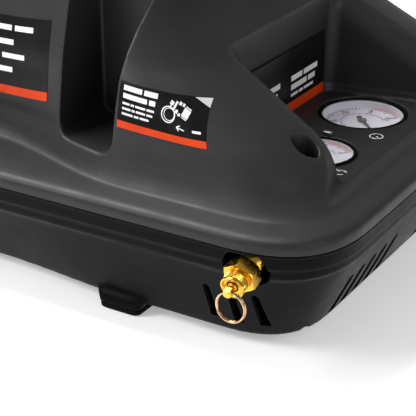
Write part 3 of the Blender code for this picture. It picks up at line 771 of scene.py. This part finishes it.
def front_spot(u, v):
    """The front label is drawn as a rectangle, and narrows upwards where it wraps the shoulder."""
    width, height = FRONT_LABEL
    top = Vector((97, 131)).lerp((144.6, 125.3), u / width)
    bottom = Vector((98, 107)).lerp((153.5, 105.3), u / width)
    return top.lerp(bottom, v / height)


def column_spot(u, v):
    """The column label is drawn as a rectangle, and its ends curve upwards."""
    x = u - COLUMN_LABEL[0] / 2
    return x, 148 - v + 0.0019 * x ** 2


def valve_drawing(art, u, v):
    """A line drawing of a valve with its pull ring, and an arrow that leads away from it."""
    slope = Vector((0.91, 0.42))
    across = Vector((-0.42, 0.91))
    start = Vector((u, v))
    for reach, length, width in ((0, 2.2, 2), (2.8, 1.2, 4.6), (4.6, 1.6, 6.4), (6.8, 1.4, 7), (8.8, 4, 4.6)):
        end = start + slope * (reach + length)
        art.line(start + slope * reach, end, width)
    for side in (-1, 1):
        edge = start + across * side * 2.9
        art.line(edge + slope * 9.2, edge + slope * 12.6, 0.5)
    art.ring(u - 0.8, v + 6.6, 4.4, 0.6)
    art.ring(u - 0.2, v + 6.4, 3.4, 0.35)
    art.line((u + 0.4, v), (u + 0.4, v + 2.6), 0.7)
    tip = Vector((u + 4.6, v + 12.2))
    art.line(tip, tip + Vector((4.6, 1.2)), 0.6)
    art.line(tip, tip + Vector((2.1, -1)), 0.6)
    art.line(tip, tip + Vector((1.3, 1.8)), 0.6)


def film_and_stripe(name, place, size, stripe_top, cell):
    """The film of a label, and the stripe along its lower edge."""
    film = Print(f"{name}_film", place, FILM_LIFT)
    film.bar(0, 0, *size, cell)
    film.done("film")
    stripe = Print(f"{name}_stripe", place, STRIPE_LIFT)
    stripe.bar(0, stripe_top, *size, cell)
    stripe.done("orange")


def make_front_label(surface):
    place = on_cover(surface, front_spot)
    film_and_stripe("front_label", place, FRONT_LABEL, 21, 1.6)
    text = Print("front_label_print", place, INK_LIFT)
    text.words(3, 1.6, 2.6, (13, 9), 1.5)
    text.words(3, 5.8, 2.6, (17, 4), 1.5)
    for row, lengths in enumerate(((5, 2.4, 7, 5), (6, 2, 6.4, 4), (7.6, 3.2, 6))):
        text.words(3, 10.6 + 2.8 * row, 1.2, lengths, 0.9)
    text.words(49, 16.4, 1.3, (5,), 0.8)
    valve_drawing(text, 35, 4)
    text.done("white")
    corner = Print("front_label_corner", place, INK_LIFT)
    corner.face((48, 0.4), (57, 4.6), (57, 0.4))
    corner.done("grey")


def make_column_label(surface):
    place = on_cover(surface, column_spot)
    film_and_stripe("column_label", place, COLUMN_LABEL, 40, 2)
    text = Print("column_label_print", place, INK_LIFT)
    for row, lengths in enumerate(((16, 28, 14), (26, 20), (13, 22, 17), (31, 14))):
        text.words(8, 5 + 8 * row, 3, lengths, 2.4)
    text.done("white")


def make_console_label():
    """The plate on the console's back wall, with its stripe along the bottom."""
    low, high = (Vector(corner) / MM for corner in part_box("console_label"))
    face, top = high.x, high.z - FOOT_DROP
    middle = (face - 0.3, 0, (low.z + high.z) / 2 - FOOT_DROP)
    plate = block("console_plate", middle, (0.6, *CONSOLE_LABEL), 0.15)
    finished(plate, "film", nodes=("console_label",))

    def place(u, v, lift):
        return Vector((face + lift, u - CONSOLE_LABEL[0] / 2, top - v))
    stripe = Print("console_stripe", place, 0.08)
    stripe.bar(0.5, 33.4, 97.5, 39.6, 20)
    stripe.done("orange")
    text = Print("console_print", place, 0.08)
    for start in (6, 54):
        text.words(start, 17, 3.4, (14, 18), 2)
        text.words(start, 22.6, 3.4, (20, 9), 2)
        text.words(start, 28.4, 1.8, (9, 5, 12), 1.4)
    text.done("white")


def make_panel_icons():
    """Two small printed pictograms beside the gauges, and the clip between the dials."""
    def place(u, v, lift):
        return Vector((u, v, PANEL + lift))
    art = Print("panel_icons", place, 0.12)
    art.ring(192, -1.2, 4.2, 0.7)
    art.line((192, -1.2), (194.2, -3.4), 0.7)
    art.line((189.4, -4.4), (194.6, -4.4), 0.6)
    art.ring(197, -59.5, 3.4, 0.7, 30, 300)
    art.line((193.6, -56.4), (196.2, -58.4), 0.8)
    art.line((198, -56), (200.4, -57.6), 0.8)
    art.done("white")
    clip = block("panel_clip", (166.6, -13.8, PANEL + 1.2), (5.5, 3.2, 2.6), 0.6)
    finished(clip, "steel")


# ---------------- gauges

def number(text, size, at, height):
    """Raised ink in the shape of a number, read from the +X end."""
    curve = bpy.data.curves.new("digits", "FONT")
    curve.body = text
    curve.size = size * MM
    curve.extrude = 0.03 * MM
    curve.align_x = "CENTER"
    curve.align_y = "CENTER"
    holder = bpy.data.objects.new("digits_path", curve)
    bpy.context.scene.collection.objects.link(holder)
    mesh = baked(holder)
    drop(holder)
    here = Matrix.Translation(TO_WORLD @ Vector((*at, height)))
    mesh.transform(here @ Matrix.Rotation(math.radians(90), 4, "Z"))
    return linked("digits", mesh)


def dial_point(gauge, radius, share):
    """A point on the dial, where a share of 0 is the rest stop and 1 is the end of the scale."""
    x, y = gauge["at"]
    turn = math.radians(SCALE_START - SCALE_SWEEP * share)
    return x + radius * math.cos(turn), y + radius * math.sin(turn)


def make_gauge(which):
    """A dial in its cup under a lens, with its marks, numbers and pointer."""
    gauge = GAUGES[which]
    x, y = gauge["at"]
    radius, face, rim_top, outer = gauge["dial"], gauge["dial_top"], gauge["rim"], gauge["hole"] - 0.3
    here = Matrix.Translation((x, y, 0))
    inner, floor = radius + 0.3, face - 1.1
    cup = [(inner, floor), (inner, rim_top - 0.6), (inner + 0.6, rim_top), (outer - 0.9, rim_top)]
    cup += [(outer, rim_top - 0.9), (outer, floor - 2), (6, floor - 4), (6, 50), (0, 50), (0, floor)]
    cup += [(inner, floor)]
    case = turned(f"{which}_case", rounded(cup, 0.5), here, 96)
    finished(case, "shell", nodes=(f"{which}_gauge_case",))
    card = rod(f"{which}_dial", radius, (0, 0, face - 0.8), 0.8, here, 96)
    finished(card, "dial", nodes=(f"{which}_gauge_dial",))
    dome = [(0, rim_top - 0.3), (radius * 0.5, rim_top - 0.38), (radius * 0.85, rim_top - 0.6)]
    dome += [(radius, rim_top - 0.8), (radius, rim_top - 1.3), (0, rim_top - 1.3)]
    lens = turned(f"{which}_lens", dome, here, 96)
    finished(lens, "lens", nodes=(f"{which}_gauge_lens",))

    def place(u, v, lift):
        return Vector((u, v, face + lift))
    ticks = Print(f"{which}_ticks", place, 0.06)
    for i in range(SCALE_MARKS + 1):
        depth = 0.16 if i % 10 == 0 else 0.11 if i % 5 == 0 else 0.07
        width = 0.036 if i % 5 == 0 else 0.02
        share = i / SCALE_MARKS
        start, end = (dial_point(gauge, radius * reach, share) for reach in (0.92, 0.92 - depth))
        ticks.line(start, end, radius * width)
    ticks.done("ink")
    arc = Print(f"{which}_arc", place, 0.05)
    arc.ring(x, y, radius * 0.56, radius * 0.025, SCALE_START, -SCALE_SWEEP, 60)
    for i in range(ARC_MARKS + 1):
        start, end = (dial_point(gauge, radius * reach, i / ARC_MARKS) for reach in (0.55, 0.48))
        arc.line(start, end, radius * 0.02)
    arc.done("violet")
    zone = Print(f"{which}_zone", place, 0.05)
    zone.ring(x, y, radius * 0.975, radius * 0.035, SCALE_START - SCALE_SWEEP, SCALE_SWEEP / 5)
    zone.done("red")
    digits = []
    for i, value in enumerate(gauge["numbers"]):
        at = dial_point(gauge, radius * 0.67, i / 5)
        digits.append(number(str(value), radius * 0.2, at, face + 0.05))
    finished(merged(f"{which}_numbers", digits), "ink")
    make_sleeve(which, gauge, here)
    make_pointer(which, gauge)


def make_sleeve(which, gauge, here):
    """The pale ring that lines the cup between the dial and the lens."""
    outer, top, face = gauge["dial"] + 0.3, gauge["rim"] - 1.5, gauge["dial_top"]
    ring = [(outer, top), (outer, face), (outer - 0.5, face), (outer - 0.5, top), (outer, top)]
    finished(turned(f"{which}_sleeve", ring, here, 96), "dial")


def make_pointer(which, gauge):
    """A tapered needle with a short tail, and its hub with a cap, at rest on the first mark."""
    x, y = gauge["at"]
    radius, face = gauge["dial"], gauge["dial_top"]
    here = Matrix.Translation((x, y, face + 0.7)) @ Matrix.Rotation(math.radians(SCALE_START), 4, "Z")
    tip = 0.74 * radius
    flat = [(-7, -1.2), (-6, -1.6), (-2, -1.1), (tip, -0.4), (tip, 0.4), (-2, 1.1), (-6, 1.6), (-7, 1.2)]
    needle = loft("needle", [[(u, v, height) for u, v in flat] for height in (0, 0.5)], here)
    hub = turned("hub", rounded([(0, 0.9), (2.5, 0.9), (2.6, -0.2), (0, -0.2)], 0.3), here, 32)
    pointer = smooth(merged(f"{which}_pointer", [needle, hub]), 35)
    body = f"{which}_pointer"
    finished(pointer, "ink", body, (f"{which}_gauge_pointer",))
    cap = turned(f"{which}_hub_cap", rounded([(0, 1.2), (1.2, 1.2), (1.3, 0.8), (0, 0.8)], 0.1), here, 32)
    finished(cap, "brass", body)


# ---------------- safety valve

def hex_nut():
    """A hexagon nut with both faces chamfered round."""
    nut = rod("safety_valve_nut", 9.6, (0, 0, 2), 8, VALVE_AXIS, 6)
    profile = [(0, 10.4), (8.1, 10.4), (10.2, 9), (10.2, 3), (8.1, 1.8), (0, 1.8)]
    chamfer = turned("chamfer", profile, VALVE_AXIS)
    return smooth(boolean(nut, [chamfer], "INTERSECT"), 25)


def make_valve():
    """The valve's body, from its thread out to its flange, then its stem and ring."""
    pitch = 1.5
    thread = [(0, 3)]
    for i in range(11):
        thread += [(6.3, 2.6 - pitch * i), (5.7, 1.85 - pitch * i)]
    thread.append((0, -13.6))
    barrel = rounded([(0, 12), (6.2, 12), (6.2, 10), (5.6, 9.9), (5.6, 9.2), (0, 9.2)], 0.3)
    grip = [(3.3, 15.4), (5.2, 15.4), (6.4, 15.3), (6.6, 15), (6.6, 11.6), (6.3, 11.3), (3.3, 11.3)]
    grip += [(3.3, 15.4)]
    flange = [(5.4, 17.2), (5.7, 17.5), (6.3, 17.5), (6.6, 17.1), (6.6, 15.9), (6.2, 15.5), (3.3, 15.5)]
    flange += [(3.3, 16.2), (5.1, 16.2), (5.4, 17.2)]
    pieces = [
        hex_nut(),
        turned("thread", thread, VALVE_AXIS),
        turned("barrel", barrel, VALVE_AXIS),
        turned("knurl", grip, VALVE_AXIS, 180, 45, 0.32),
        turned("flange", rounded(flange, 0.15), VALVE_AXIS, 96),
    ]
    body = smooth(merged("safety_valve", pieces), 30)
    finished(body, "brass", nodes=("safety_valve_body",))
    tip = [(0, 23), (1.7, 23), (2.3, 22.6), (2.6, 21.8), (2.6, 18.9), (1.9, 18.2), (1.9, 17.2), (2.6, 16.6)]
    tip += [(2.6, -6), (0, -6)]
    stem = turned("valve_stem", rounded(tip, 0.2), VALVE_AXIS, 48)
    flats = [block("flat", (0, side * 3.3, 21.4), (8, 2.6, 5), 0.2, VALVE_AXIS) for side in (-1, 1)]
    eye = rod("eye_bore", 1.2, (0, 0, -5), 10, VALVE_AXIS @ facing(0, 0, EYE, "X"))
    boolean(stem, flats + [eye])
    finished(smooth(stem, 35), "brass", "valve_stem", ("safety_valve_stem",))
    make_ring()


def make_ring():
    """A split ring of two close coils that hangs from the eye."""
    hang = (Matrix.Translation((VALVE_AXIS @ Matrix.Translation((0, 0, EYE))).translation)
            @ Matrix.Rotation(math.radians(-9), 4, "Y") @ Matrix.Translation((0, 0, -RING_RADIUS)))
    points = []
    steps = 150
    for i in range(steps + 1):
        share = i / steps
        turn = math.tau * RING_TURNS * share + math.radians(200)
        across = RING_WIRE * math.tanh(9 * (share - 0.5))
        points.append(hang @ Vector((RING_RADIUS * math.cos(turn), across, RING_RADIUS * math.sin(turn))))
    finished(wire("split_ring", points, RING_WIRE), "ring", "pull_ring", ("pull_ring",))


# ---------------- rear fittings

def make_rear():
    """The regulator's knob, the coupler and its sleeve, the cord gland, the switch and the drain."""
    at = OUTLET_HEIGHT
    knob = [(0, 17), (13.4, 17), (14.6, 16), (15, 14), (15, 1), (14.4, 0), (5.4, 0), (5.4, 9), (0, 9)]
    item = turned("regulator_cap", rounded(knob, 0.5), facing(REGULATOR_X, 154.6, at, "Y"), 144, 24, 0.9)
    finished(item, "knob", "regulator_knob", ("regulator_knob",))
    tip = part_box("coupler_body")[1].y / MM - COUPLER_BASE
    body = [(4, tip), (7.2, tip), (8, tip - 0.8), (8, 73.4), (7.4, 73), (7.4, 72.4), (8, 72), (8, 60)]
    body += [(10, 60), (10, 40), (7, 40), (7, 0), (4, 0), (4, tip)]
    axis = facing(COUPLER_X, COUPLER_BASE, at, "Y")
    finished(turned("coupler_tube", rounded(body, 0.3), axis), "brass", nodes=("coupler_body",))
    sleeve = [(8.4, 71.6), (11.4, 71.6), (12, 71), (12, 65), (11.2, 64), (11.2, 63.6), (8.4, 63.6)]
    sleeve += [(8.4, 71.6)]
    item = turned("coupler_grip", rounded(sleeve, 0.3), axis, 180, 36, 0.35)
    finished(item, "steel", "coupler_sleeve", ("coupler_sleeve",))
    gland = [(4, 22), (8.6, 22), (10, 20.6), (10, 12.4), (12, 10.4), (12, 6.4), (7.6, 6.4), (7.6, -6)]
    gland += [(4, -6), (4, 22)]
    item = turned("gland_nut", rounded(gland, 0.4), facing(GLAND_X, 148, at, "Y"), 96, 12, 0.8)
    finished(item, "shell", nodes=("cord_gland",))
    make_switch()
    turn = Matrix.Translation((DRAIN_X, 0, 0))
    grip = [(0, 4.6), (6.6, 4.6), (8, 3.6), (8, 0), (7, -1), (0, -1)]
    item = turned("drain_grip", rounded(grip, 0.4), turn, 120, 18, 0.6)
    finished(item, "brass", "drain_knob", ("drain_valve_knob",))


def make_switch():
    """The switch's frame and rocker, with a ring and a bar for off and on."""
    x, z = SWITCH_X, OUTLET_HEIGHT
    bezel = block("switch_bezel", (x, 147, z), (27.2, 18, 19.2), 1.2)
    boolean(bezel, [block("switch_bay", (x, 156, z), (20, 28, 14), 0.5)])
    finished(smooth(bezel, 35), "shell", nodes=("switch_frame",))
    rocker = block("rocker_cap", (x, 153.5, z), (18, 9, 10.6), 0.9)
    finished(rocker, "rocker", "rocker", ("switch_rocker",))

    def place(u, v, lift):
        return Vector((x + u, 158 - 0.04 + lift, z - v))
    marks = Print("rocker_marks", place, 0.03)
    marks.ring(0, -2.8, 1.4, 0.4)
    marks.line((0, 1.6), (0, 4.2), 0.5)
    marks.done("white", "rocker")


# ---------------- handle, screws and inside parts

def make_handle():
    """The tubular handle, with finger grooves along its grip."""
    low, high = (Vector(corner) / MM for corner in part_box("carry_handle"))
    radius, foot = 13, low.z - FOOT_DROP
    grip, half = high.z - FOOT_DROP - radius, high.x - radius
    bend = 24
    rises, bends, runs = 6, 16, 24
    points = [(-half, 0, foot + (grip - bend - foot) * i / rises) for i in range(rises)]
    for i in range(bends + 1):
        turn = math.pi / 2 * i / bends
        points.append((-half + bend * (1 - math.cos(turn)), 0, grip - bend + bend * math.sin(turn)))
    points += [(-half + bend + (half - bend) * i / runs, 0, grip) for i in range(1, runs)]
    points += [(0, 0, grip)]
    points += [(-x, y, z) for x, y, z in reversed(points[:-1])]
    pitch = 17
    swell = []
    for x, _, z in points:
        gripped = abs(x) < 2 * pitch and z >= grip - 0.1
        groove = 0.5 - 0.5 * math.cos(math.tau * x / pitch) if gripped else 0.0
        swell.append(1.0 - 0.07 * groove)
    tube = wire("handle_tube", points, radius, swell=swell)
    finished(tube, "cover", nodes=("carry_handle",))
    for sign, side in ((-1, "left"), (1, "right")):
        profile = rounded([(0, 5), (14, 5), (17, 1.4), (17, 0), (0, 0)], 1.2)
        here = Matrix.Translation((sign * half, 0, foot - 0.2))
        finished(turned(f"handle_collar_{side}", profile, here), "shell")


def make_screws():
    """The cover's four screws, each with a cross slot."""
    head = rounded([(0, 3), (2.6, 3), (3.8, 2.2), (4, 0.8), (4, 0), (1.9, 0), (1.9, -34), (0, -36)], 0.3)
    for sign_x, side in ((-1, "left"), (1, "right")):
        for sign_y, end in ((-1, "front"), (1, "rear")):
            here = Matrix.Translation((sign_x * SCREW_AT[0], sign_y * SCREW_AT[1], WELL_FLOOR + 0.3))
            screw = turned(f"screw_{end}_{side}", head, here, 32)
            slots = ((4.4, 0.9, 2.4), (0.9, 4.4, 2.4))
            boolean(screw, [block("drive", (0, 0, 3), size, 0, here) for size in slots])
            finished(smooth(screw, 35), "dark_steel", nodes=(f"cover_screw_{end}_{side}",))


INSIDE = {
    "steel": ("motor_stator", "motor_rotor", "motor_mount", "eccentric", "tank_saddle_left",
              "tank_saddle_right"),
    "aluminium": ("crankcase", "pump_cylinder", "cylinder_head", "piston_and_rod", "motor_end_bell",
                  "regulator_body", "supply_tube"),
    "shell": ("pressure_switch", "cooling_fan", "intake_filter", "start_capacitor"),
    "brass": ("air_manifold", "check_valve", "drain_valve_body"),
    "copper": ("discharge_tube",),
    "tank": ("air_tank",),
}


def paint_inside():
    """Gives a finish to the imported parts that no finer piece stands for."""
    for finish, names in INSIDE.items():
        for name in names:
            mesh = NODES[name].data
            mesh.materials.clear()
            mesh.materials.append(FINISH[finish])


# ---------------- stage

def area_light(name, at, aim, size, power):
    """A soft light, placed in metres."""
    data = bpy.data.lights.new(name, "AREA")
    data.shape = "RECTANGLE"
    data.size, data.size_y = size
    data.energy = power
    item = bpy.data.objects.new(name, data)
    bpy.context.scene.collection.objects.link(item)
    item.location = at
    item.rotation_euler = (Vector(aim) - Vector(at)).to_track_quat("-Z", "Y").to_euler()


def make_stage():
    """A white floor that glows a little, a pale sky and three lights."""
    floor = block("floor", (0, 0, -FOOT_DROP - 5), (8000, 8000, 10))
    glow = {"emission_color": (1, 1, 1, 1), "emission_strength": 0.35}
    made = Finish("studio_floor", 0.9, specular_ior_level=0.1, **glow)
    made.colour(made.blend(made.span(made.noise(3.0), 0.0, 1.0), (0.93, 0.93, 0.93), (0.95, 0.95, 0.95)))
    made.rough(made.span(made.noise(30.0), 0.85, 0.95))
    floor.data.materials.clear()
    floor.data.materials.append(made.material)
    world = bpy.data.worlds.new("studio")
    world.use_nodes = True
    sky = world.node_tree.nodes["Background"]
    sky.inputs["Color"].default_value = (1, 1, 1, 1)
    sky.inputs["Strength"].default_value = 0.38
    bpy.context.scene.world = world
    bpy.context.scene.view_settings.view_transform = "Standard"
    area_light("overhead", (-0.75, 0.05, 1.45), (0.0, -0.05, 0.08), (1.0, 1.0), 42)
    area_light("side", (1.3, -0.35, 0.75), (0.15, 0, 0.08), (0.5, 0.5), 4)
    area_light("front", (-0.8, -1.05, 1.05), (0.05, -0.05, 0.1), (0.7, 0.7), 17)


def make_camera():
    """The camera looks down at the gauge end of the front."""
    turn, down, distance = math.radians(31.1), math.radians(25), 0.824
    target = Vector((0.113, -0.060, 0.0395))
    look = Vector((-math.sin(turn) * math.cos(down), math.cos(turn) * math.cos(down), -math.sin(down)))
    data = bpy.data.cameras.new("camera")
    data.lens = 121.15
    data.sensor_width = 36.0
    data.clip_start = 0.01
    item = bpy.data.objects.new("camera", data)
    bpy.context.scene.collection.objects.link(item)
    item.location = target - look * distance
    item.rotation_euler = look.to_track_quat("-Z", "Y").to_euler()
    bpy.context.scene.camera = item


def main():
    make_camera()
    make_stage()
    surface = make_cover()
    make_shell()
    rim("cover_rim", SEAM + 1.2, 0.9, 0.85, "cover")
    rim("shell_rim", SEAM - 1.1, 1.0, 0.85, "shell")
    make_feet()
    make_front_label(surface)
    make_column_label(surface)
    make_console_label()
    make_panel_icons()
    for which in GAUGES:
        make_gauge(which)
    make_valve()
    make_rear()
    make_handle()
    make_screws()
    paint_inside()


main()
